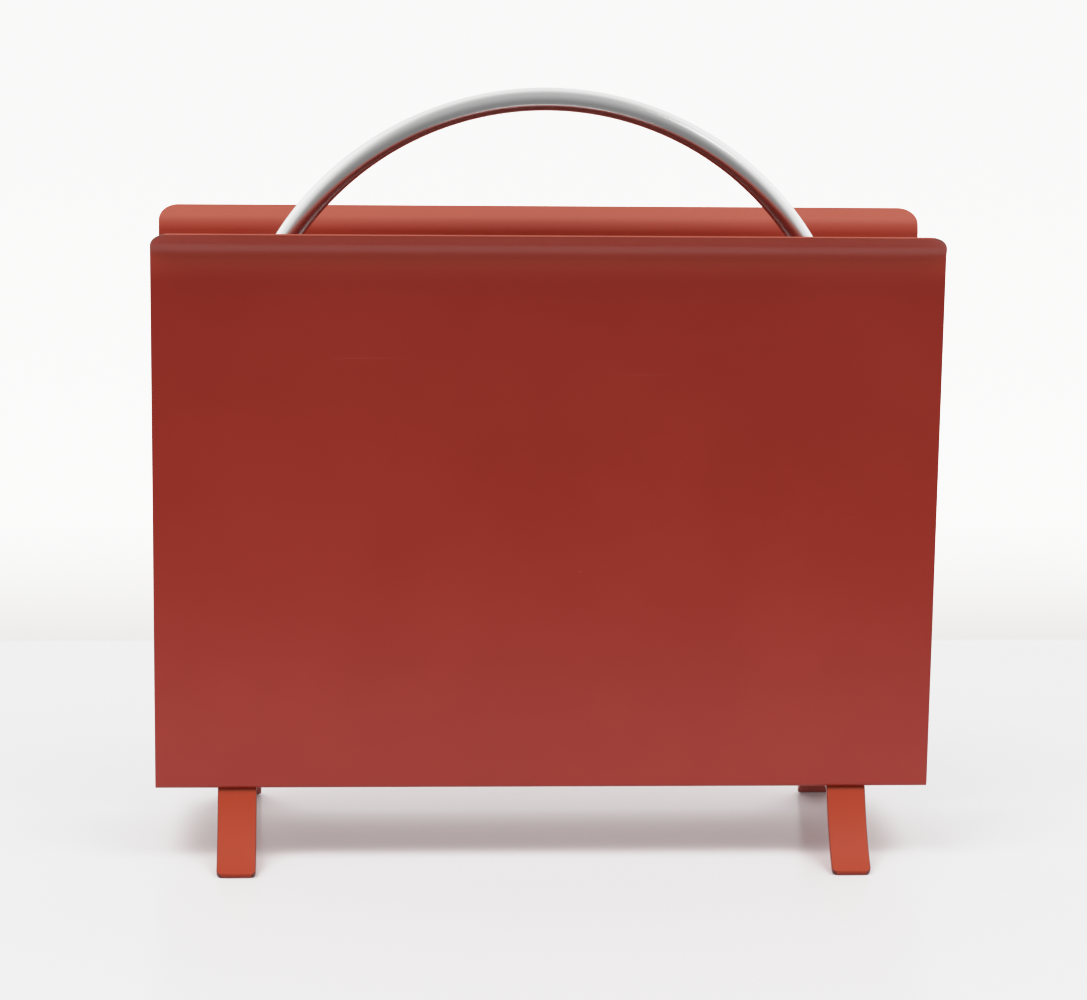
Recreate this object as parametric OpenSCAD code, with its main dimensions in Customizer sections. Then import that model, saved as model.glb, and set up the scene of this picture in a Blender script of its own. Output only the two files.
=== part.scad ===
// Free-standing magazine and newspaper rack.
// One sheet of steel is folded into an open-ended trough with outward lips.
// It stands on two strip feet, and a bent tube rises from its floor as handle.
// X runs along the width, +Y to the back, +Z up. The origin is on the table,
// under the middle of the rack. Sizes are in millimetres, angles in degrees.

/* [Trough] */
// Width of the folded sheet from one open end to the other
rack_w = 400; // [300:5:500]
// Height of the lips' top edges above the table
rack_h = 328.5; // [250:0.5:420]
// Outside depth of the trough, from bottom fold to bottom fold
floor_d = 90; // [70:1:140]
// Height of the trough's underside above the table
floor_z = 39; // [30:0.5:60]
// Thickness of the sheet
sheet_t = 1; // [0.8:0.1:2]
// How far each wall leans outwards from upright
wall_lean = 0.4; // [0:0.1:4]
// Inside radius of the two bottom folds
fold_r = 0.8; // [0.5:0.1:3]

/* [Lips] */
// How far each lip turns outwards from its wall
lip_angle = 45; // [20:1:60]
// Inside radius of the lip's bend
lip_bend_r = 10; // [4:0.5:15]
// Length of the straight strip beyond that bend
lip_flat = 7; // [4:0.5:15]
// Radius of the two rounded corners of a lip
lip_corner_r = 10; // [3:0.5:12]

/* [Feet] */
// Width of the foot's strip
foot_w = 20; // [16:1:30]
// Thickness of the foot's strip
foot_t = 3; // [2:0.5:4]
// How far inside the trough's fold the strip starts to turn down
turn_inset = 3; // [1:0.5:10]
// Inside radius of that turn
foot_bend_r = 1.5; // [1:0.5:4]
// Angle of a leg from upright, just below that turn
splay_start = 26; // [15:1:35]
// Angle of a leg from upright, at its tip
splay_end = 57; // [45:1:65]
// Radius of the corners of a leg's cut end
tip_corner_r = 3; // [1:0.5:5]
// Depth of metal taken off a tip's lower edge, where it stands
tip_wear = 0.4; // [0.2:0.1:0.8]

/* [Handle] */
// Height of the handle's crown above the table
handle_h = 396.5; // [340:0.5:480]
// Distance from the trough's open end to the centre line of the handle's leg
leg_inset = 42; // [20:1:80]
// Outside diameter of the handle's tube
tube_d = 12; // [10:0.5:18]
// Wall of the handle's tube
tube_wall = 1.5; // [1:0.25:2]

/* [Fasteners] */
// Length of the threaded plug in each end of the tube
plug_len = 25; // [15:1:40]
// Diameter of the screw that pulls the handle down
screw_d = 5; // [4:0.5:6]
// How far that screw reaches into its plug
screw_grip = 12; // [8:1:14]
// Diameter of the screw's button head
screw_head_d = 9.5; // [8:0.5:12]
// Height of the button head
screw_head_h = 2.8; // [2:0.1:4]
// Width across the flats of the head's hexagon socket
socket_af = 3; // [2.5:0.5:4]
// Outside diameter of the washer under the head
washer_d = 12; // [11:0.5:15]
// Thickness of that washer
washer_t = 1.2; // [0.8:0.1:2]
// Shank diameter of the rivets that hold a foot to the floor
rivet_d = 4; // [3:0.5:5]
// Diameter of a rivet's two heads
rivet_head_d = 7.5; // [6:0.5:10]
// Height of a rivet's two heads
rivet_head_h = 1; // [0.8:0.1:2]
// Distance from the end of the strip's level part to the rivet's centre
rivet_inset = 15; // [8:1:18]

/* [Clearances] */
// Radial clearance of the screw in the floor and the foot
screw_gap = 0.3; // [0.2:0.05:0.5]
// Radial clearance of the screw in its plug
thread_gap = 0.05; // [0.02:0.01:0.1]
// Radial clearance of the plug in the tube
plug_gap = 0.05; // [0.02:0.01:0.1]
// Radial clearance of a rivet in its holes
rivet_gap = 0.05; // [0.02:0.01:0.1]

/* [Hidden] */
$fn = 64;
// Overlap that keeps a cut clear of the face it opens
eps = 0.5;
leg_x = rack_w / 2 - leg_inset;

// A folded strip is followed by stations on its underside, as it is bent. Each
// is a depth, a height and the strip's heading there, from level, in degrees.
bend_steps = 12;
function ahead(s, run) = [s[0] + run * cos(s[2]), s[1] + run * sin(s[2]), s[2]];
// The underside's radius is positive where the strip turns up, negative for down.
function bend(s, r, turn) = [for (i = [1:bend_steps])
    let (h = s[2] + turn * i / bend_steps)
    [s[0] + r * (sin(h) - sin(s[2])), s[1] + r * (cos(s[2]) - cos(h)), h]];
function end_of(stations) = stations[len(stations) - 1];
function topside(s, t) = [s[0] - t * sin(s[2]), s[1] + t * cos(s[2])];

// The sheet's back half: the floor, the fold, the wall and the lip
fold_turn = 90 - wall_lean;
lip_heading = fold_turn - lip_angle;
fold_rise = (fold_r + sheet_t) * (1 - cos(fold_turn));
lip_bend_rise = lip_bend_r * (cos(lip_heading) - cos(fold_turn));
lip_edge_rise = lip_flat * sin(lip_heading) + sheet_t * cos(lip_heading);
wall_rise = rack_h - floor_z - fold_rise - lip_bend_rise - lip_edge_rise;
floor_end = [floor_d / 2 - fold_r - sheet_t, floor_z, 0];
fold = bend(floor_end, fold_r + sheet_t, fold_turn);
wall_top = ahead(end_of(fold), wall_rise / cos(wall_lean));
lip_bend = bend(wall_top, -lip_bend_r, -lip_angle);
lip_edge = ahead(end_of(lip_bend), lip_flat);
sheet_path = concat([floor_end], fold, [wall_top], lip_bend, [lip_edge]);

// A foot's back half: level under the floor, down, and out along one arc, whose
// radius comes from the drop to the table
foot_under_z = floor_z - foot_t;
foot_turn = 90 - splay_start;
leg_drop = foot_under_z - foot_bend_r * (1 - cos(foot_turn)) + tip_wear;
splay_r = leg_drop / (sin(splay_end) - sin(splay_start));
foot_level_end = [floor_end[0] - turn_inset, foot_under_z, 0];
foot_bend = bend(foot_level_end, -foot_bend_r, -foot_turn);
splay = bend(end_of(foot_bend), splay_r, splay_end - splay_start);
foot_path = concat([foot_level_end], foot_bend, splay);
rivet_y = foot_level_end[0] - rivet_inset;

// The crown is half a ring that ends in the two straight legs.
crown_r = leg_x;
crown_z = handle_h - tube_d / 2 - crown_r;
tube_foot_z = floor_z + sheet_t;
bore_r = tube_d / 2 - tube_wall;

// A strip of width w, from the stations of its back half and their mirror image
module folded_strip(stations, t, w) {
    last = len(stations) - 1;
    under = [for (s = stations) [s[0], s[1]]];
    top = [for (i = [last:-1:0]) topside(stations[i], t)];
    back = concat(under, top);
    front = [for (i = [2 * last + 1:-1:0]) [-back[i][0], back[i][1]]];
    rotate([90, 0, 90]) linear_extrude(w, center = true) polygon(concat(back, front));
}

// What rounds one corner of a strip's end. It is drawn flat, with the strip's
// end on the X axis and the corner at the origin.
module corner_waste(r, t) {
    translate([0, 0, -t]) linear_extrude(3 * t) difference() {
        translate([-r, -r]) square(r + eps);
        translate([-r, -r]) circle(r);
    }
}

// The same at all four corners of a folded strip of width w
module corner_wastes(stations, r, t, w) {
    s = end_of(stations);
    for (front = [0, 1], left = [0, 1])
        mirror([0, front, 0]) mirror([left, 0, 0])
        translate([w / 2, s[0], s[1]]) rotate([s[2], 0, 0]) corner_waste(r, t);
}

module vertical_hole(r, x, y) {
    reach = floor_z + 2 * sheet_t + eps;
    translate([x, y, 0]) cylinder(h = reach, r = r);
}

// The holes through the floor and the feet, under one of the handle's legs
module fixing_holes(x) {
    vertical_hole(screw_d / 2 + screw_gap, x, 0);
    for (side = [-1, 1])
        vertical_hole(rivet_d / 2 + rivet_gap, x, side * rivet_y);
}

module trough() {
    color([0.58, 0.17, 0.14]) difference() {
        folded_strip(sheet_path, sheet_t, rack_w);
        corner_wastes(sheet_path, lip_corner_r, sheet_t, rack_w);
        for (x = [-leg_x, leg_x]) fixing_holes(x);
    }
}

// The tips are dressed level where they stand on the table.
module foot(x) {
    tip_y = end_of(foot_path)[0];
    color([0.72, 0.20, 0.14]) difference() {
        translate([x, 0, 0]) difference() {
            folded_strip(foot_path, foot_t, foot_w);
            corner_wastes(foot_path, tip_corner_r, foot_t, foot_w);
            translate([-foot_w, -2 * tip_y, -foot_t])
                cube([2 * foot_w, 4 * tip_y, foot_t]);
        }
        fixing_holes(x);
    }
}

module foot_left() foot(-leg_x);
module foot_right() foot(leg_x);

// A bar of radius r along the handle's path, which starts at a given height
module handle_bar(r, from_z) {
    translate([0, 0, crown_z]) rotate([90, 0, 0])
        rotate_extrude(angle = 180) translate([crown_r, 0]) circle(r);
    for (x = [-leg_x, leg_x])
        translate([x, 0, from_z]) cylinder(h = crown_z - from_z, r = r);
}

module handle_tube() {
    color([0.72, 0.73, 0.74]) difference() {
        handle_bar(tube_d / 2, tube_foot_z);
        handle_bar(bore_r, tube_foot_z - eps);
    }
}

// A turned plug, bevelled where it is driven into the tube's end
module plug(x) {
    r = bore_r - plug_gap;
    bevel = r / 4;
    color([0.60, 0.60, 0.62]) translate([x, 0, tube_foot_z]) difference() {
        union() {
            cylinder(h = plug_len - bevel, r = r);
            translate([0, 0, plug_len - bevel])
                cylinder(h = bevel, r1 = r, r2 = r - bevel);
        }
        translate([0, 0, -eps])
            cylinder(h = screw_grip + screw_d / 2 + eps, r = screw_d / 2 + thread_gap);
    }
}

module plug_left() plug(-leg_x);
module plug_right() plug(leg_x);

module washer(x) {
    color([0.65, 0.65, 0.66]) translate([x, 0, foot_under_z - washer_t])
        difference() {
            cylinder(h = washer_t, d = washer_d);
            translate([0, 0, -eps])
                cylinder(h = washer_t + 2 * eps, r = screw_d / 2 + screw_gap);
        }
}

module washer_left() washer(-leg_x);
module washer_right() washer(leg_x);

// A button head is a cap of a ball, with a flat on its crown round the socket.
module button_head() {
    crown = screw_head_h;
    rim = screw_head_d / 2;
    ball_r = (rim * rim + crown * crown) / (2 * crown);
    rotate([180, 0, 0]) difference() {
        rotate_extrude() intersection() {
            translate([0, crown - ball_r]) circle(ball_r);
            square([rim, crown - screw_head_h / 12]);
        }
        translate([0, 0, screw_head_h / 2])
            cylinder(h = screw_head_h, d = socket_af / cos(30), $fn = 6);
    }
}

module screw(x) {
    head_z = foot_under_z - washer_t;
    color([0.70, 0.70, 0.72]) translate([x, 0, head_z]) {
        button_head();
        cylinder(h = tube_foot_z + screw_grip - head_z, d = screw_d);
    }
}

module screw_left() screw(-leg_x);
module screw_right() screw(leg_x);

// A rivet grips the floor and the strip between its two low heads.
module rivet(x, y) {
    r = rivet_head_d / 2;
    slope = rivet_head_h / 2;
    translate([x, y, foot_under_z]) {
        cylinder(h = foot_t + sheet_t, d = rivet_d);
        translate([0, 0, foot_t + sheet_t])
            cylinder(h = rivet_head_h, r1 = r, r2 = r - slope);
        mirror([0, 0, 1]) cylinder(h = rivet_head_h, r1 = r, r2 = r - slope);
    }
}

module rivets(x) {
    color([0.60, 0.18, 0.14])
        for (side = [-1, 1]) rivet(x, side * rivet_y);
}

module rivets_left() rivets(-leg_x);
module rivets_right() rivets(leg_x);

trough();
foot_left();
foot_right();
handle_tube();
plug_left();
plug_right();
washer_left();
washer_right();
screw_left();
screw_right();
rivets_left();
rivets_right();
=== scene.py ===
"""A free-standing magazine and newspaper rack: one folded, enamelled sheet on two
strip feet, with a bent aluminium tube rising from its floor as the handle.

The sections follow the rack as it is put together. Lengths are in metres, X runs
along the width, +Y to the back and +Z up, with the table at Z = 0.
"""
import math

import bmesh
import bpy
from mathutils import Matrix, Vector


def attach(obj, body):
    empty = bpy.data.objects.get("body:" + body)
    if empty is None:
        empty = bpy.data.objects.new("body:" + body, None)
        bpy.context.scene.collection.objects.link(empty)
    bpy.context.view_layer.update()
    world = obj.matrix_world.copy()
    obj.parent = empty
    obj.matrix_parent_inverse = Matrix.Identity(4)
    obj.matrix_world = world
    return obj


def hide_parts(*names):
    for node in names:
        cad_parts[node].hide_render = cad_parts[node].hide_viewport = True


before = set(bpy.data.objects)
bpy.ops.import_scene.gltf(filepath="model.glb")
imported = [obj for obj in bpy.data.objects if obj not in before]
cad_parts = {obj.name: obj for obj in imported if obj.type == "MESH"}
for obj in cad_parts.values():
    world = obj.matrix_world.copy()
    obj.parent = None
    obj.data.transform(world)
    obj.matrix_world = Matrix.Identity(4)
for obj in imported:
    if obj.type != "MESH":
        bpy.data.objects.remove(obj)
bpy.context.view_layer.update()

# ------------------------------------------------------------------------------
# The trough: one sheet of 1 mm steel, cut to a flat blank with rounded corners,
# drilled for the feet and the handle, folded up twice and rolled out into two
# lips, and then sprayed with satin red enamel that is baked on.
# ------------------------------------------------------------------------------
mm = 0.001

rack_height = 328.5 * mm
sheet_width = 400 * mm
sheet_thickness = 1 * mm
floor_height = 39 * mm
floor_depth = 90 * mm
fold_radius = 1.8 * mm
wall_lean = math.radians(0.4)
lip_radius = 10 * mm
lip_turn = math.radians(45)
lip_length = 7 * mm
lip_corner = 10 * mm
cut_edge_round = 0.22 * mm

floor_reach = floor_depth / 2 - fold_radius
fold_turn = math.pi / 2 - wall_lean
lip_heading = fold_turn - lip_turn
wall_rise = (
    rack_height
    - floor_height
    - fold_radius * (1 - math.cos(fold_turn))
    - lip_radius * (math.cos(lip_heading) - math.cos(fold_turn))
    - lip_length * math.sin(lip_heading)
    - sheet_thickness * math.cos(lip_heading)
)

leg_inset = 42 * mm
leg_x = sheet_width / 2 - leg_inset
rivet_y = 25.2 * mm
screw_hole = 2.8 * mm
rivet_hole = 2.05 * mm


class Strip:
    """The underside of a folded strip, followed from its middle to one end.

    Each run is (length, radius): straight where the radius is 0, turning up
    where it is positive and down where it is negative.
    """

    def __init__(self, height, runs, bend_steps=16):
        self.runs = []
        self.stations = []
        s, y, z, heading = 0.0, 0.0, height, 0.0
        for length, radius in runs:
            self.runs.append((s, y, z, heading, radius))
            steps = bend_steps if radius else 1
            self.stations += [s + length * k / steps for k in range(1, steps + 1)]
            s += length
            y, z, heading = self.underside(s)
        self.length = s

    def underside(self, s):
        """The depth, height and heading at a distance s from the middle."""
        start, y, z, heading, radius = [r for r in self.runs if r[0] <= s][-1]
        ahead = s - start
        if radius == 0:
            return (
                y + ahead * math.cos(heading),
                z + ahead * math.sin(heading),
                heading,
            )
        turned = heading + ahead / radius
        return (
            y + radius * (math.sin(turned) - math.sin(heading)),
            z + radius * (math.cos(heading) - math.cos(turned)),
            turned,
        )

    def fold(self, flat):
        """Where a point of the flat blank goes: its x, distance and level above."""
        side = math.copysign(1, flat.y)
        y, z, heading = self.underside(abs(flat.y))
        return Vector(
            (
                flat.x,
                side * (y - flat.z * math.sin(heading)),
                z + flat.z * math.cos(heading),
            )
        )


def flat_blank(strip, width, thickness, corner, holes, edge_round, corner_steps=12):
    """A strip's flat blank: X across it, Y along it, its underside at Z = 0.

    Each hole is (x, y, radius), drilled through a level part. The blank is laid
    out in rows and columns that leave each hole a cell of its own.
    """
    half_cell = 1.9  # in radii of the hole
    closest_rows = 0.02 * mm
    sharp_edge = math.radians(60)
    rows = set()
    for s in strip.stations:
        rows |= {s, -s}
    for k in range(corner_steps + 1):
        s = strip.length - corner + corner * math.sin(math.pi / 2 * k / corner_steps)
        rows |= {s, -s}
    for x, y, radius in holes:
        rows |= {y - half_cell * radius, y + half_cell * radius}
    rows = sorted(rows)
    rows = [s for k, s in enumerate(rows) if k == 0 or s - rows[k - 1] > closest_rows]
    rows[-1] = strip.length
    reach = half_cell * max(radius for x, y, radius in holes)
    columns = sorted({x + side for x, y, radius in holes for side in (-reach, reach)})

    bm = bmesh.new()
    grid = []
    for s in rows:
        past = max(0.0, abs(s) - (strip.length - corner))
        edge = width / 2 - corner + math.sqrt(max(0.0, corner**2 - past**2))
        grid.append([bm.verts.new((x, s, 0)) for x in (-edge, *columns, edge)])
    for low, high in zip(grid, grid[1:]):
        for k in range(len(low) - 1):
            corners = [low[k], low[k + 1], high[k + 1], high[k]]
            middle = sum((v.co for v in corners), Vector()) / 4
            drilled = [
                h for h in holes if (Vector((h[0], h[1], 0)) - middle).length < h[2]
            ]
            if drilled:
                drill(bm, corners, drilled[0])
            else:
                bm.faces.new(corners)
    lower = bm.faces[:]
    bmesh.ops.recalc_face_normals(bm, faces=lower)
    upper = bmesh.ops.extrude_face_region(bm, geom=lower)["geom"]
    for v in upper:
        if isinstance(v, bmesh.types.BMVert):
            v.co.z += thickness
    bmesh.ops.recalc_face_normals(bm, faces=bm.faces[:])
    sharp = [e for e in bm.edges if e.calc_face_angle(0) > sharp_edge]
    bmesh.ops.bevel(
        bm, geom=sharp, offset=edge_round, segments=3, profile=0.5, affect="EDGES"
    )
    return bm


def drill(bm, corners, hole, segments=32):
    """Fills the rectangle between four corners, except for a round hole."""
    x, y, radius = hole
    turn = 2 * math.pi / segments
    start = -math.pi * 3 / 4  # towards the first corner
    rim = [
        bm.verts.new(
            (
                x + radius * math.cos(start + k * turn),
                y + radius * math.sin(start + k * turn),
                0,
            )
        )
        for k in range(segments)
    ]
    quarter = segments // 4
    for k in range(4):
        arc = [rim[(k * quarter + j) % segments] for j in range(quarter, -1, -1)]
        bm.faces.new([corners[k], corners[(k + 1) % 4], *arc])


def finish_piece(name, bm, material, slot, *nodes):
    """Makes a mesh the piece that is shown in place of the named CAD nodes."""
    mesh = bpy.data.meshes.new(name)
    bm.to_mesh(mesh)
    bm.free()
    mesh.materials.append(material)
    return show_piece(name, mesh, slot, *nodes)


def show_piece(name, mesh, slot, *nodes):
    """Adds a finished mesh to the scene in place of the named CAD nodes, which it hides."""
    mesh.shade_smooth()
    piece = bpy.data.objects.new(name, mesh)
    bpy.context.scene.collection.objects.link(piece)
    even = piece.modifiers.new("even shading", "WEIGHTED_NORMAL")
    even.mode = "FACE_AREA"
    even.keep_sharp = True
    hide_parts(*nodes)
    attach(piece, "root")
    return piece


class Socket:
    """A node's output. Arithmetic on it adds Math nodes to the same tree."""

    def __init__(self, graph, output):
        self.graph = graph
        self.output = output

    def math(self, operation, *values):
        inputs = dict(zip(("Value", "Value_001"), values))
        return self.graph.node("ShaderNodeMath", {"operation": operation}, inputs)

    def __add__(self, other):
        return self.math("ADD", self, other)

    __radd__ = __add__

    def __sub__(self, other):
        return self.math("SUBTRACT", self, other)

    def __rsub__(self, other):
        return self.math("SUBTRACT", other, self)

    def __mul__(self, other):
        return self.math("MULTIPLY", self, other)

    def __truediv__(self, other):
        return self.math("DIVIDE", self, other)

    def above(self, low, high):
        """0 below low, 1 above high, and a smooth step between them."""
        return self.graph.node(
            "ShaderNodeMapRange",
            {"interpolation_type": "SMOOTHSTEP"},
            {"Value": self, "From Min": low, "From Max": high},
        )


class Graph:
    """The node tree of a finish, of the world or of a Geometry Nodes modifier."""

    def __init__(self, tree):
        self.tree = tree

    def node(self, kind, settings=None, inputs=None, output=0):
        made = self.tree.nodes.new(kind)
        for key, value in (settings or {}).items():
            setattr(made, key, value)
        sockets = {s.name: s for s in made.inputs}
        sockets.update({s.identifier: s for s in made.inputs})
        for key, value in (inputs or {}).items():
            if isinstance(value, Socket):
                self.tree.links.new(value.output, sockets[key])
            else:
                sockets[key].default_value = value
        return Socket(self, made.outputs[output]) if made.outputs else None

    def blend(self, factor, low, high):
        """A colour between low and high."""
        return self.node(
            "ShaderNodeMix",
            {"data_type": "RGBA"},
            {"Factor_Float": factor, "A_Color": low, "B_Color": high},
            output=2,
        )


def new_finish(name):
    """A material with an empty tree, and the graph that fills it."""
    material = bpy.data.materials.new(name)
    material.use_nodes = True
    material.node_tree.nodes.clear()
    return material, Graph(material.node_tree)


def close_finish(graph, inputs):
    """Ends a finish in a Principled shader with these inputs."""
    shader = graph.node("ShaderNodeBsdfPrincipled", {}, inputs)
    graph.node("ShaderNodeOutputMaterial", {}, {"Surface": shader})


def enamel(name, colour, thin_colour, gloss=0.42, painted_sheen=0.20):
    """Sprayed and baked satin enamel, with a faint orange peel and a few marks.

    The walls are painted darker towards the top, a painted shade, and the lips
    paler and more orange, a painted light. A painted dark line runs along the
    side edges, and faces that look up carry a painted pale sheen.
    """
    chipped_coat = (0.72, 0.42, 0.36, 1.0)
    painted_upper_shade = (0.08, 0.002, 0.001, 1.0)
    painted_lip_light = (0.320, 0.035, 0.018, 1.0)
    painted_sheen_colour = (0.22, 0.18, 0.12, 1.0)
    painted_edge_shade = (0.045, 0.016, 0.012, 1.0)

    material, g = new_finish(name)
    place = g.node("ShaderNodeTexCoord", output="Object")
    facing = g.node("ShaderNodeTexCoord", output="Normal")
    height = g.node("ShaderNodeSeparateXYZ", {}, {"Vector": place}, output="Z")
    upward = g.node("ShaderNodeSeparateXYZ", {}, {"Vector": facing}, output="Z")
    sideways = g.node("ShaderNodeSeparateXYZ", {}, {"Vector": facing}, output="X")
    sideways = sideways.math("ABSOLUTE", sideways)

    cloud = g.node(
        "ShaderNodeTexNoise", {}, {"Vector": place, "Scale": 14.0, "Detail": 3.0}
    )
    grain = g.node(
        "ShaderNodeTexNoise", {}, {"Vector": place, "Scale": 900.0, "Detail": 2.0}
    )
    peel = g.node(
        "ShaderNodeTexNoise", {}, {"Vector": place, "Scale": 420.0, "Detail": 1.0}
    )

    grit_cells = {"Vector": place, "Scale": 55.0, "Randomness": 1.0}
    grit = g.node("ShaderNodeTexVoronoi", {"feature": "F1"}, grit_cells)
    cell_colour = g.node("ShaderNodeTexVoronoi", {"feature": "F1"}, grit_cells, output=1)
    chance = g.node("ShaderNodeSeparateColor", {}, {"Color": cell_colour})
    speck = (1 - grit.above(0.010, 0.022)) * chance.above(0.90, 0.91)

    slanted = g.node(
        "ShaderNodeMapping",
        {},
        {"Vector": place, "Rotation": (0.0, 0.55, 0.0), "Scale": (9.0, 9.0, 900.0)},
    )
    hair = g.node(
        "ShaderNodeTexNoise", {}, {"Vector": slanted, "Scale": 1.0, "Detail": 0.0}
    )
    region = g.node(
        "ShaderNodeTexNoise", {}, {"Vector": place, "Scale": 21.0, "Detail": 0.0}
    )
    scratch = hair.above(0.82, 0.86) * region.above(0.66, 0.72)

    # Painted light: the lips are painted paler and more orange.
    lip_light = height.above(0.302, 0.318)
    # Painted shade: the walls are painted darker towards the top.
    upper_shade = height.above(0.03, 0.29) * (1 - lip_light)
    # Painted shade: a dark line is painted along the side edges, where the faces turn
    # sideways.
    edge_shade = sideways.above(0.1, 0.35) * (1 - sideways.above(0.85, 0.99))
    coat = g.blend(cloud.above(0.35, 0.65) * 0.8 + grain * 0.2, colour, thin_colour)
    coat = g.blend(upper_shade * 0.215, coat, painted_upper_shade)
    coat = g.blend(lip_light, coat, painted_lip_light)
    coat = g.blend(speck * 0.35 + scratch * 0.05, coat, chipped_coat)
    # Painted sheen: faces that look up are painted paler and greyer.
    coat = g.blend(upward.above(0.0, 0.8) * painted_sheen, coat, painted_sheen_colour)
    coat = g.blend(edge_shade * 0.75, coat, painted_edge_shade)
    bump = g.node(
        "ShaderNodeBump",
        {},
        {
            "Height": peel * 0.7 + grain * 0.15 - scratch * 0.3 + speck * 0.5,
            "Strength": 0.16,
            "Distance": 0.00008,
        },
    )
    close_finish(
        g,
        {
            "Base Color": coat,
            "Roughness": 0.28 + cloud * 0.07 + grain * 0.04,
            "Normal": bump,
            "Specular IOR Level": gloss,
        },
    )
    return material


sheet_red = (0.280, 0.018, 0.008, 1.0)
sheet_red_thin = (0.300, 0.021, 0.010, 1.0)
sheet_enamel = enamel("sheet enamel", sheet_red, sheet_red_thin)
sheet = Strip(
    floor_height,
    (
        (floor_reach, 0),
        (fold_radius * fold_turn, fold_radius),
        (wall_rise / math.cos(wall_lean), 0),
        (lip_radius * lip_turn, -lip_radius),
        (lip_length, 0),
    ),
)
sheet_holes = [
    hole
    for x in (-leg_x, leg_x)
    for hole in (
        (x, -rivet_y, rivet_hole),
        (x, 0.0, screw_hole),
        (x, rivet_y, rivet_hole),
    )
]
blank = flat_blank(
    sheet, sheet_width, sheet_thickness, lip_corner, sheet_holes, cut_edge_round
)
for v in blank.verts:
    v.co = sheet.fold(v.co)
finish_piece("folded_sheet", blank, sheet_enamel, "sheet_enamel", "trough")

# ------------------------------------------------------------------------------
# The feet: two 20 mm strips of 3 mm steel, drilled flat, turned down at both ends
# and curved outwards, with rounded tips that are dressed level where they stand.
# Their enamel is painted lighter and more orange than the sheet's, a painted light,
# and they are riveted under the floor.
# ------------------------------------------------------------------------------
foot_width = 20 * mm
foot_thickness = 3 * mm
foot_turn_inset = 3 * mm
foot_turn_radius = 1.5 * mm
foot_turn = math.radians(64)
splay_radius = 88.8288 * mm
splay_turn = math.radians(31)
tip_corner = 3 * mm
foot_edge_round = 0.45 * mm

foot_level = floor_reach - foot_turn_inset
foot_under = floor_height - foot_thickness

# Painted light: the feet have the sheet's red, painted lighter and more orange.
foot_red_painted_lighter = (0.315, 0.026, 0.007, 1.0)
foot_red_thin_painted_lighter = (0.345, 0.031, 0.009, 1.0)
foot_enamel = enamel("foot enamel", foot_red_painted_lighter, foot_red_thin_painted_lighter, gloss=0.22, painted_sheen=0.10)
foot = Strip(
    foot_under,
    (
        (foot_level, 0),
        (foot_turn_radius * foot_turn, -foot_turn_radius),
        (splay_radius * splay_turn, splay_radius),
    ),
)
foot_holes = [
    (0.0, -rivet_y, rivet_hole),
    (0.0, 0.0, screw_hole),
    (0.0, rivet_y, rivet_hole),
]
for name, x in (("left", -leg_x), ("right", leg_x)):
    blank = flat_blank(
        foot,
        foot_width,
        foot_thickness,
        tip_corner,
        foot_holes,
        foot_edge_round,
        corner_steps=8,
    )
    for v in blank.verts:
        v.co = foot.fold(v.co) + Vector((x, 0, 0))
    bmesh.ops.bisect_plane(
        blank,
        geom=blank.verts[:] + blank.edges[:] + blank.faces[:],
        dist=1e-7,
        plane_co=(0, 0, 0),
        plane_no=(0, 0, -1),
        clear_outer=True,
    )
    cut = [e for e in blank.edges if e.is_boundary]
    bmesh.ops.holes_fill(blank, edges=cut)
    bmesh.ops.recalc_face_normals(blank, faces=blank.faces[:])
    finish_piece(f"{name}_foot", blank, foot_enamel, "foot_enamel", f"foot_{name}")

# ------------------------------------------------------------------------------
# The rivets: two soft steel rivets grip each foot to the floor of the trough.
# Their low round heads were enamelled with the rack, so they are red as well.
# ------------------------------------------------------------------------------
rivet_radius = 2 * mm
rivet_head_radius = 3.75 * mm
rivet_head_height = 1 * mm
rivet_crown_radius = 1.6 * mm


def turned(profile, segments=48):
    """A solid turned about Z, from the axis or a ring back to where it started.

    A profile's point is (radius, height). The radius may be a function of the
    angle, for a part that isn't round there.
    """
    bm = bmesh.new()
    rings = []
    for radius, height in profile:
        if radius == 0:
            rings.append([bm.verts.new((0, 0, height))])
            continue
        ring = []
        for k in range(segments):
            angle = 2 * math.pi * k / segments
            r = radius(angle) if callable(radius) else radius
            ring.append(bm.verts.new((r * math.cos(angle), r * math.sin(angle), height)))
        rings.append(ring)
    if len(rings[0]) > 1:
        rings.append(rings[0])
    for a, b in zip(rings, rings[1:]):
        for k in range(segments):
            n = (k + 1) % segments
            if len(a) == 1:
                bm.faces.new([a[0], b[n], b[k]])
            elif len(b) == 1:
                bm.faces.new([a[k], a[n], b[0]])
            else:
                bm.faces.new([a[k], a[n], b[n], b[k]])
    bmesh.ops.recalc_face_normals(bm, faces=bm.faces[:])
    return bm


def head_curve(base, height, steps=6):
    """A low domed head, from its upright rim at the base to the flat on its crown."""
    rim = height / 4
    turns = [math.pi / 2 * k / steps for k in range(steps + 1)]
    return [
        (
            rivet_crown_radius
            + (rivet_head_radius - rivet_crown_radius) * math.cos(turn),
            base + rim + (height - rim) * math.sin(turn),
        )
        for turn in turns
    ]


floor_top = floor_height + sheet_thickness
upper_head = head_curve(floor_top, rivet_head_height)
lower_head = head_curve(foot_under, -rivet_head_height)
rivet_shape = turned(
    [
        (0, foot_under - rivet_head_height),
        *reversed(lower_head),
        (rivet_head_radius, foot_under),
        (rivet_radius, foot_under),
        (rivet_radius, floor_top),
        (rivet_head_radius, floor_top),
        *upper_head,
        (0, floor_top + rivet_head_height),
    ]
)
rivet_mesh = bpy.data.meshes.new("one rivet")
rivet_shape.to_mesh(rivet_mesh)
rivet_shape.free()
rivet_model = bpy.data.objects.new("one rivet", rivet_mesh)

rivet_enamel = enamel("rivet enamel", sheet_red, sheet_red_thin)


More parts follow.
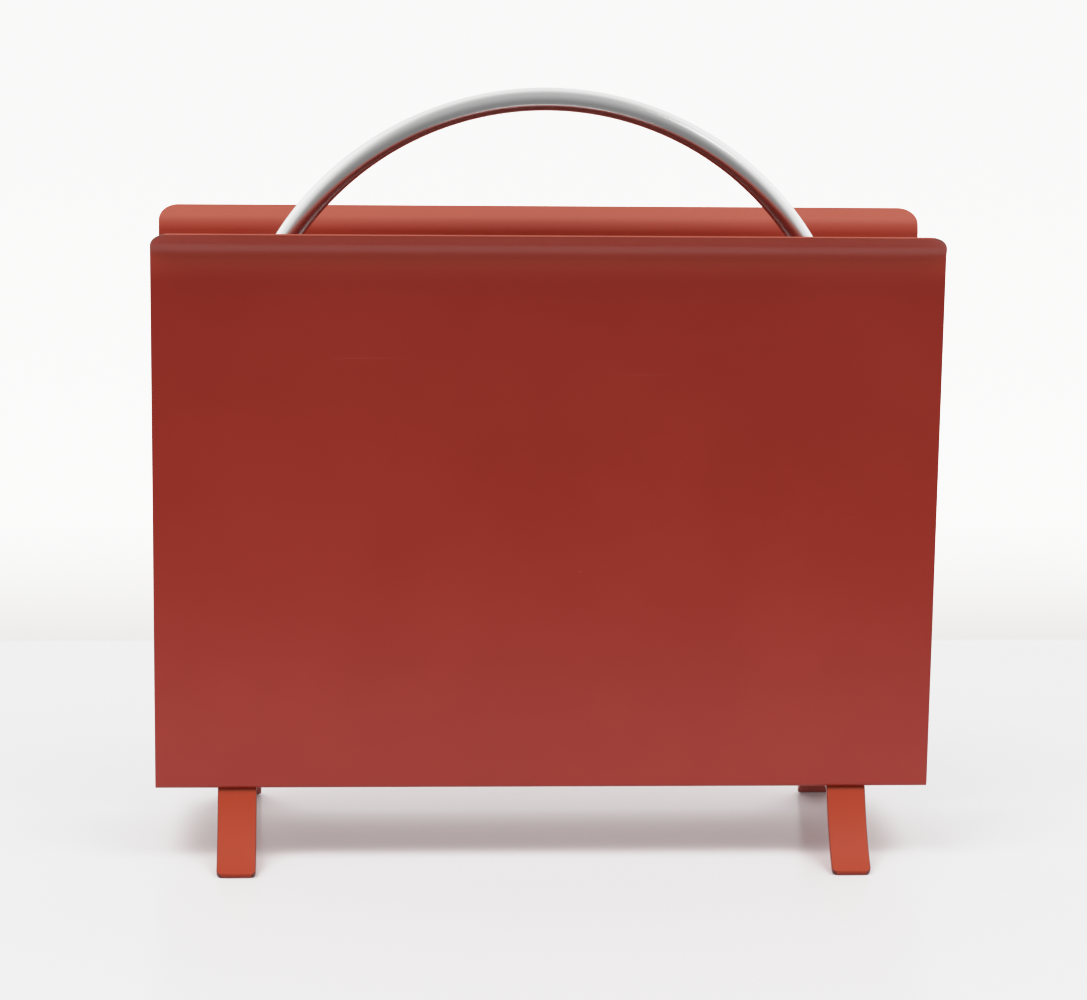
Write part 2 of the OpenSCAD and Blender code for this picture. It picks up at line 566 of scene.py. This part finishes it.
def new_tree(name, inputs):
    """A Geometry Nodes tree, its graph, and the sockets of its named inputs."""
    tree = bpy.data.node_groups.new(name, "GeometryNodeTree")
    for label, kind in inputs.items():
        tree.interface.new_socket(label, in_out="INPUT", socket_type=kind)
    tree.interface.new_socket(
        "Geometry", in_out="OUTPUT", socket_type="NodeSocketGeometry"
    )
    graph = Graph(tree)
    given = {label: graph.node("NodeGroupInput", output=label) for label in inputs}
    return tree, graph, given


rivet_row, g, given = new_tree(
    "Rivets of a foot",
    {
        "Rivet": "NodeSocketObject",
        "Front": "NodeSocketVector",
        "Back": "NodeSocketVector",
        "Finish": "NodeSocketMaterial",
    },
)
places = g.node(
    "GeometryNodeMeshLine",
    {"mode": "END_POINTS"},
    {"Count": 2, "Start Location": given["Front"], "Offset": given["Back"]},
)
model = g.node(
    "GeometryNodeObjectInfo", {}, {"Object": given["Rivet"]}, output="Geometry"
)
struck = g.node(
    "GeometryNodeInstanceOnPoints", {}, {"Points": places, "Instance": model}
)
solid = g.node("GeometryNodeRealizeInstances", {}, {"Geometry": struck})
painted = g.node(
    "GeometryNodeSetMaterial", {}, {"Geometry": solid, "Material": given["Finish"]}
)
g.node("NodeGroupOutput", {}, {"Geometry": painted})


def grown(tree, inputs):
    """The plain mesh that a Geometry Nodes tree makes from these inputs."""
    seed = bpy.data.meshes.new("seed")
    host = bpy.data.objects.new("seed", seed)
    bpy.context.scene.collection.objects.link(host)
    modifier = host.modifiers.new("grow", "NODES")
    modifier.node_group = tree
    for item in tree.interface.items_tree:
        if item.in_out == "INPUT" and item.name in inputs:
            modifier[item.identifier] = inputs[item.name]
    depsgraph = bpy.context.evaluated_depsgraph_get()
    mesh = bpy.data.meshes.new_from_object(host.evaluated_get(depsgraph))
    bpy.data.objects.remove(host)
    return mesh


for name, x in (("left", -leg_x), ("right", leg_x)):
    mesh = grown(
        rivet_row,
        {
            "Rivet": rivet_model,
            "Front": (x, -rivet_y, 0),
            "Back": (x, rivet_y, 0),
            "Finish": rivet_enamel,
        },
    )
    show_piece(f"{name}_rivets", mesh, "rivet_enamel", f"rivets_{name}")
bpy.data.objects.remove(rivet_model)

# ------------------------------------------------------------------------------
# The handle: one aluminium tube of 12 mm, bent to a half circle between two
# straight legs, linished along its length and clear anodised to a satin. Its
# square-cut ends stand on the trough's floor, between the rivets.
# ------------------------------------------------------------------------------
tube_radius = 6 * mm
tube_wall = 1.5 * mm
handle_height = 396.5 * mm
crown_radius = leg_x
crown_centre = handle_height - tube_radius - crown_radius
tube_end_round = 0.25 * mm
tube_stations = 220
tube_sides = 56

bent_tube, g, given = new_tree(
    "Bent tube",
    {
        "Foot height": "NodeSocketFloat",
        "Crown centre": "NodeSocketFloat",
        "Crown radius": "NodeSocketFloat",
        "Tube radius": "NodeSocketFloat",
        "Stations": "NodeSocketInt",
        "Sides": "NodeSocketInt",
        "Finish": "NodeSocketMaterial",
    },
)
line = g.node("GeometryNodeMeshLine", {}, {"Count": given["Stations"]})
index = g.node("GeometryNodeInputIndex")
half_arc = given["Crown radius"] * (math.pi / 2)
half_length = half_arc + (given["Crown centre"] - given["Foot height"])
along = (index / (given["Stations"] - 1) * 2 - 1) * half_length
reach = along.math("ABSOLUTE", along)
straight = (reach - half_arc).math("MAXIMUM", reach - half_arc, 0.0)
on_arc = along.math("SIGN", along) * (reach - straight)
angle = on_arc / given["Crown radius"]
path_point = g.node(
    "ShaderNodeCombineXYZ",
    {},
    {
        "X": given["Crown radius"] * angle.math("SINE", angle),
        "Z": given["Crown centre"]
        + given["Crown radius"] * angle.math("COSINE", angle)
        - straight,
    },
)
centre_line = g.node("GeometryNodeMeshToCurve", {}, {"Mesh": line})
centre_line = g.node(
    "GeometryNodeStoreNamedAttribute",
    {"data_type": "FLOAT", "domain": "POINT"},
    {"Geometry": centre_line, "Name": "along", "Value": along},
)
centre_line = g.node(
    "GeometryNodeSetPosition", {}, {"Geometry": centre_line, "Position": path_point}
)
section = g.node(
    "GeometryNodeCurvePrimitiveCircle",
    {"mode": "RADIUS"},
    {"Resolution": given["Sides"], "Radius": given["Tube radius"]},
)
section_point = g.node("GeometryNodeInputPosition")
section = g.node(
    "GeometryNodeStoreNamedAttribute",
    {"data_type": "FLOAT_VECTOR", "domain": "POINT"},
    {"Geometry": section, "Name": "across", "Value": section_point},
)
skin = g.node(
    "GeometryNodeCurveToMesh", {}, {"Curve": centre_line, "Profile Curve": section}
)
skin = g.node("GeometryNodeRealizeInstances", {}, {"Geometry": skin})
skin = g.node(
    "GeometryNodeSetMaterial", {}, {"Geometry": skin, "Material": given["Finish"]}
)
g.node("NodeGroupOutput", {}, {"Geometry": skin})

tube_satin, g = new_finish("satin anodised aluminium")
along = g.node("ShaderNodeAttribute", {"attribute_name": "along"}, output="Fac")
across = g.node("ShaderNodeAttribute", {"attribute_name": "across"}, output="Vector")
across_x = g.node("ShaderNodeSeparateXYZ", {}, {"Vector": across}, output="X")
across_y = g.node("ShaderNodeSeparateXYZ", {}, {"Vector": across}, output="Y")
# The linishing lines are fine across the tube and long along it.
fine_lines, long_lines = 1000.0, 12.0
lengthwise = g.node(
    "ShaderNodeCombineXYZ",
    {},
    {"X": across_x * fine_lines, "Y": across_y * fine_lines, "Z": along * long_lines},
)
linish = g.node(
    "ShaderNodeTexNoise", {}, {"Vector": lengthwise, "Scale": 3.2, "Detail": 4.0}
)
place = g.node("ShaderNodeTexCoord", output="Object")
haze = g.node(
    "ShaderNodeTexNoise", {}, {"Vector": place, "Scale": 30.0, "Detail": 3.0}
)
satin = g.blend(linish, (0.73, 0.735, 0.74, 1.0), (0.80, 0.805, 0.81, 1.0))
fine = g.node(
    "ShaderNodeBump",
    {},
    {"Height": linish, "Strength": 0.10, "Distance": 0.00005},
)
close_finish(
    g,
    {
        "Base Color": satin,
        "Metallic": 1.0,
        "Roughness": 0.18 + linish * 0.08 + haze * 0.05,
        "Normal": fine,
    },
)

mesh = grown(
    bent_tube,
    {
        "Foot height": floor_top,
        "Crown centre": crown_centre,
        "Crown radius": crown_radius,
        "Tube radius": tube_radius,
        "Stations": tube_stations,
        "Sides": tube_sides,
        "Finish": tube_satin,
    },
)
tube = show_piece("bent_tube", mesh, "tube_satin", "handle_tube")
hollow = tube.modifiers.new("tube wall", "SOLIDIFY")
hollow.thickness = tube_wall
hollow.offset = -1
hollow.use_even_offset = True
ends = tube.modifiers.new("deburred ends", "BEVEL")
ends.width = tube_end_round
ends.segments = 2
ends.limit_method = "ANGLE"
ends.angle_limit = math.radians(50)
tube.modifiers.move(0, 2)  # the shading is evened last

# ------------------------------------------------------------------------------
# The plugs: short steel plugs, turned and tapped for M5, driven into the ends of
# the tube so that a screw can pull each leg down on to the floor.
# ------------------------------------------------------------------------------
plug_radius = 4.45 * mm
plug_length = 25 * mm
plug_bevel = 1.1 * mm
tapped_radius = 2.55 * mm
tapped_depth = 14.5 * mm
countersink = 0.4 * mm
plug_edge = 0.3 * mm

plug_steel, g = new_finish("turned steel")
place = g.node("ShaderNodeTexCoord", output="Object")
height = g.node("ShaderNodeSeparateXYZ", {}, {"Vector": place}, output="Z")
feed = height * 14000.0  # a tool mark every 0.45 mm
ring = feed.math("SINE", feed)
stain = g.node(
    "ShaderNodeTexNoise", {}, {"Vector": place, "Scale": 220.0, "Detail": 4.0}
)
tool_marks = g.node(
    "ShaderNodeBump", {}, {"Height": ring, "Strength": 0.15, "Distance": 0.00003}
)
close_finish(
    g,
    {
        "Base Color": g.blend(stain, (0.40, 0.40, 0.41, 1), (0.56, 0.56, 0.57, 1)),
        "Metallic": 1.0,
        "Roughness": 0.25 + stain * 0.15,
        "Normal": tool_marks,
    },
)
for name, x in (("left", -leg_x), ("right", leg_x)):
    plug = turned(
        [
            (0, floor_top + tapped_depth),
            (tapped_radius, floor_top + tapped_depth),
            (tapped_radius, floor_top + countersink),
            (tapped_radius + countersink, floor_top),
            (plug_radius - plug_edge, floor_top),
            (plug_radius, floor_top + plug_edge),
            (plug_radius, floor_top + plug_length - plug_bevel),
            (plug_radius - plug_bevel, floor_top + plug_length),
            (0, floor_top + plug_length),
        ]
    )
    bmesh.ops.translate(plug, verts=plug.verts[:], vec=(x, 0, 0))
    finish_piece(f"{name}_plug", plug, plug_steel, "plug_steel", f"plug_{name}")

# ------------------------------------------------------------------------------
# The washers: plain zinc-plated washers, stamped from 1.2 mm strip, which spread
# the screws' pull over the holes in the feet.
# ------------------------------------------------------------------------------
washer_radius = 6 * mm
washer_thickness = 1.2 * mm
washer_round = 0.18 * mm

zinc, g = new_finish("bright zinc plate")
place = g.node("ShaderNodeTexCoord", output="Object")
bloom = g.node(
    "ShaderNodeTexNoise", {}, {"Vector": place, "Scale": 260.0, "Detail": 4.0}
)
pores = g.node(
    "ShaderNodeTexNoise", {}, {"Vector": place, "Scale": 2600.0, "Detail": 2.0}
)
pitted = g.node(
    "ShaderNodeBump", {}, {"Height": pores, "Strength": 0.2, "Distance": 0.00002}
)
close_finish(
    g,
    {
        "Base Color": g.blend(bloom, (0.52, 0.54, 0.57, 1), (0.68, 0.69, 0.70, 1)),
        "Metallic": 1.0,
        "Roughness": 0.24 + bloom * 0.16,
        "Normal": pitted,
    },
)
for name, x in (("left", -leg_x), ("right", leg_x)):
    top, under = foot_under, foot_under - washer_thickness
    washer = turned(
        [
            (screw_hole, top - washer_round),
            (screw_hole + washer_round, top),
            (washer_radius - washer_round * 0.5, top),
            (washer_radius, top - washer_round * 0.5),
            (washer_radius, under + washer_round),
            (washer_radius - washer_round * 0.4, under + washer_round * 0.4),
            (washer_radius - washer_round, under),
            (screw_hole + washer_round, under),
            (screw_hole, under + washer_round),
        ]
    )
    bmesh.ops.translate(washer, verts=washer.verts[:], vec=(x, 0, 0))
    finish_piece(f"{name}_washer", washer, zinc, "zinc", f"washer_{name}")

# ------------------------------------------------------------------------------
# The screws: M5 button-head screws with a 3 mm hexagon socket, zinc plated like
# the washers. Each goes up through a foot and the floor into its plug.
# ------------------------------------------------------------------------------
screw_radius = 2.5 * mm
thread_pitch = 0.8 * mm
thread_depth = 0.45 * mm
thread_start = floor_top - 2 * mm
screw_tip = floor_top + 12 * mm
tip_edge = 0.3 * mm
head_radius = 4.75 * mm
head_height = 2.8 * mm
head_ball = (head_radius**2 + head_height**2) / (2 * head_height)
head_flat = 2.1 * mm
head_edge = 0.1 * mm
socket_half_width = 1.5 * mm
socket_depth = 1.4 * mm
socket_edge = 0.05 * mm
samples_per_pitch = 8
dome_steps = 8


def hexagon(angle):
    """The radius of the socket's hexagon at an angle."""
    off_flat = (angle + math.pi / 6) % (math.pi / 3) - math.pi / 6
    return socket_half_width / math.cos(off_flat)


def thread(height):
    """The radius of the threaded shank round one level."""

    def radius(angle):
        phase = (height / thread_pitch - angle / (2 * math.pi)) % 1
        run_out = min(
            1.0, (height - thread_start) / thread_pitch, (screw_tip - height) / thread_pitch
        )
        return screw_radius - thread_depth * abs(2 * phase - 1) * max(0.0, run_out)

    return radius


def wide_hexagon(angle):
    """The hexagon where the socket's mouth is chamfered."""
    return hexagon(angle) + socket_edge


under_head = foot_under - washer_thickness
ball_centre = under_head + head_ball - head_height
rim_angle = math.asin(head_radius / head_ball)
flat_angle = math.asin(head_flat / head_ball)
dome_angles = [
    flat_angle + (rim_angle - flat_angle) * k / dome_steps for k in range(dome_steps + 1)
]
dome = [
    (head_ball * math.sin(angle), ball_centre - head_ball * math.cos(angle))
    for angle in dome_angles
]
head_face = dome[0][1]
rows = int((screw_tip - thread_start) / thread_pitch * samples_per_pitch)
shank = [
    thread_start + (screw_tip - thread_start) * k / rows for k in range(rows + 1)
]
for name, x in (("left", -leg_x), ("right", leg_x)):
    screw = turned(
        [
            (0, under_head - socket_depth),
            (hexagon, under_head - socket_depth),
            (hexagon, head_face + socket_edge),
            (wide_hexagon, head_face),
            *dome,
            (head_radius - head_edge, under_head),
            (screw_radius, under_head),
            *[(thread(z), z) for z in shank],
            (screw_radius - tip_edge, screw_tip),
            (0, screw_tip),
        ]
    )
    bmesh.ops.translate(screw, verts=screw.verts[:], vec=(x, 0, 0))
    finish_piece(f"{name}_screw", screw, zinc, "zinc", f"screw_{name}")

# ------------------------------------------------------------------------------
# The studio: a white lacquered table that runs back into a bright wall, and soft
# lights above it. The table ends in front of the rack, and the room there is dark.
# ------------------------------------------------------------------------------
table_white, g = new_finish("white lacquer")
place = g.node("ShaderNodeTexCoord", output="Object")
depth = g.node("ShaderNodeSeparateXYZ", {}, {"Vector": place}, output="Y")
mottle = g.node(
    "ShaderNodeTexNoise", {}, {"Vector": place, "Scale": 6.0, "Detail": 4.0}
)
lacquer = g.blend(mottle, (0.665, 0.670, 0.682, 1.0), (0.685, 0.690, 0.702, 1.0))
plaster = (0.57, 0.555, 0.54, 1.0)
# Painted light: the table glows faintly all over, which lifts its shadows, and glows
# brightly where it becomes the wall.
shaded_glow = (0.08, 0.08, 0.082, 1.0)
wall_glow = (1.60, 1.50, 1.47, 1.0)
beyond = depth.above(0.402, 0.412)
close_finish(
    g,
    {
        "Base Color": g.blend(beyond, lacquer, plaster),
        "Roughness": 0.22 + beyond * 0.6,
        "Specular IOR Level": 0.15,
        "Emission Color": g.blend(depth.above(0.37, 0.8), shaded_glow, wall_glow),
        "Emission Strength": 1.0,
    },
)
table_front = -0.39
table_far = 12
table_top = -0.02 * mm  # just under the feet, so that no two faces coincide
table_mesh = bpy.data.meshes.new("table")
table_mesh.from_pydata(
    [
        (-table_far, table_front, table_top),
        (table_far, table_front, table_top),
        (table_far, table_far, table_top),
        (-table_far, table_far, table_top),
    ],
    [],
    [(0, 1, 2, 3)],
)
table_mesh.materials.append(table_white)
table = bpy.data.objects.new("table", table_mesh)
bpy.context.scene.collection.objects.link(table)

world = bpy.data.worlds.new("studio")
world.use_nodes = True
world.node_tree.nodes.clear()
bpy.context.scene.world = world
g = Graph(world.node_tree)
direction = g.node("ShaderNodeTexCoord", output="Generated")
side = g.node("ShaderNodeSeparateXYZ", {}, {"Vector": direction}, output="X")
back = g.node("ShaderNodeSeparateXYZ", {}, {"Vector": direction}, output="Y")
up = g.node("ShaderNodeSeparateXYZ", {}, {"Vector": direction}, output="Z")
seen = g.node("ShaderNodeLightPath", output="Is Camera Ray")
back_wall = back.above(-0.5, 0.6) * 0.68
side_walls = side.math("ABSOLUTE", side).above(0.3, 0.8) * 0.55
ceiling = up.above(-0.3, 0.9) * 0.32
dark_front = 0.26
bright_backdrop = 0.95
strength = dark_front + ceiling + back_wall + side_walls
g.node(
    "ShaderNodeOutputWorld",
    {},
    {
        "Surface": g.node(
            "ShaderNodeBackground",
            {},
            {
                "Color": (1.0, 0.985, 0.975, 1.0),
                "Strength": seen * bright_backdrop + (1 - seen) * strength,
            },
        )
    },
)


def softbox(name, place, aim, size, power, mirrored=False):
    """A square soft light. Only a mirrored one shows in reflections."""
    light = bpy.data.lights.new(name, "AREA")
    light.size = size
    light.energy = power
    light.color = (1, 0.99, 0.98)
    lamp = bpy.data.objects.new(name, light)
    lamp.location = place
    turn = (Vector(aim) - Vector(place)).to_track_quat("-Z", "Y")
    lamp.rotation_euler = turn.to_euler()
    bpy.context.scene.collection.objects.link(lamp)
    lamp.visible_camera = False
    lamp.visible_glossy = mirrored


softbox("left", (-1.0, -0.85, 2.6), (0, 0, 0), 1.3, 48)
softbox("right", (1.0, -0.8, 2.6), (0, 0, 0), 1.3, 34)
softbox("window", (1.63, -1.13, 2.27), (0, 0, 0.37), 0.5, 1.5, mirrored=True)

# ------------------------------------------------------------------------------
# The camera: a long lens a little above the rack and to its left, looking down
# on the lips. Its film holds back the bright tones, so that white keeps its shades.
# ------------------------------------------------------------------------------
camera_data = bpy.data.cameras.new("camera")
camera_data.sensor_width = 36.0
camera_data.sensor_fit = "HORIZONTAL"
camera_data.lens = 121.15
camera = bpy.data.objects.new("camera", camera_data)
camera.location = (-0.10750, -1.86100, 0.58938)
camera.rotation_euler = (
    math.radians(77.6574),
    math.radians(-0.7495),
    math.radians(-3.1666),
)
bpy.context.scene.collection.objects.link(camera)
bpy.context.scene.camera = camera

view = bpy.context.scene.view_settings
view.view_transform = "Standard"
view.use_curve_mapping = True
film = view.curve_mapping
brightest = 4
film.white_level = (brightest, brightest, brightest)
response = film.curves[3]
for light, shown in (
    (0.55, 0.55),
    (0.7, 0.68),
    (0.85, 0.765),
    (1.0, 0.82),
    (1.3, 0.88),
    (1.7, 0.92),
    (2.5, 0.965),
):
    response.points.new(light / brightest, shown)
film.update()
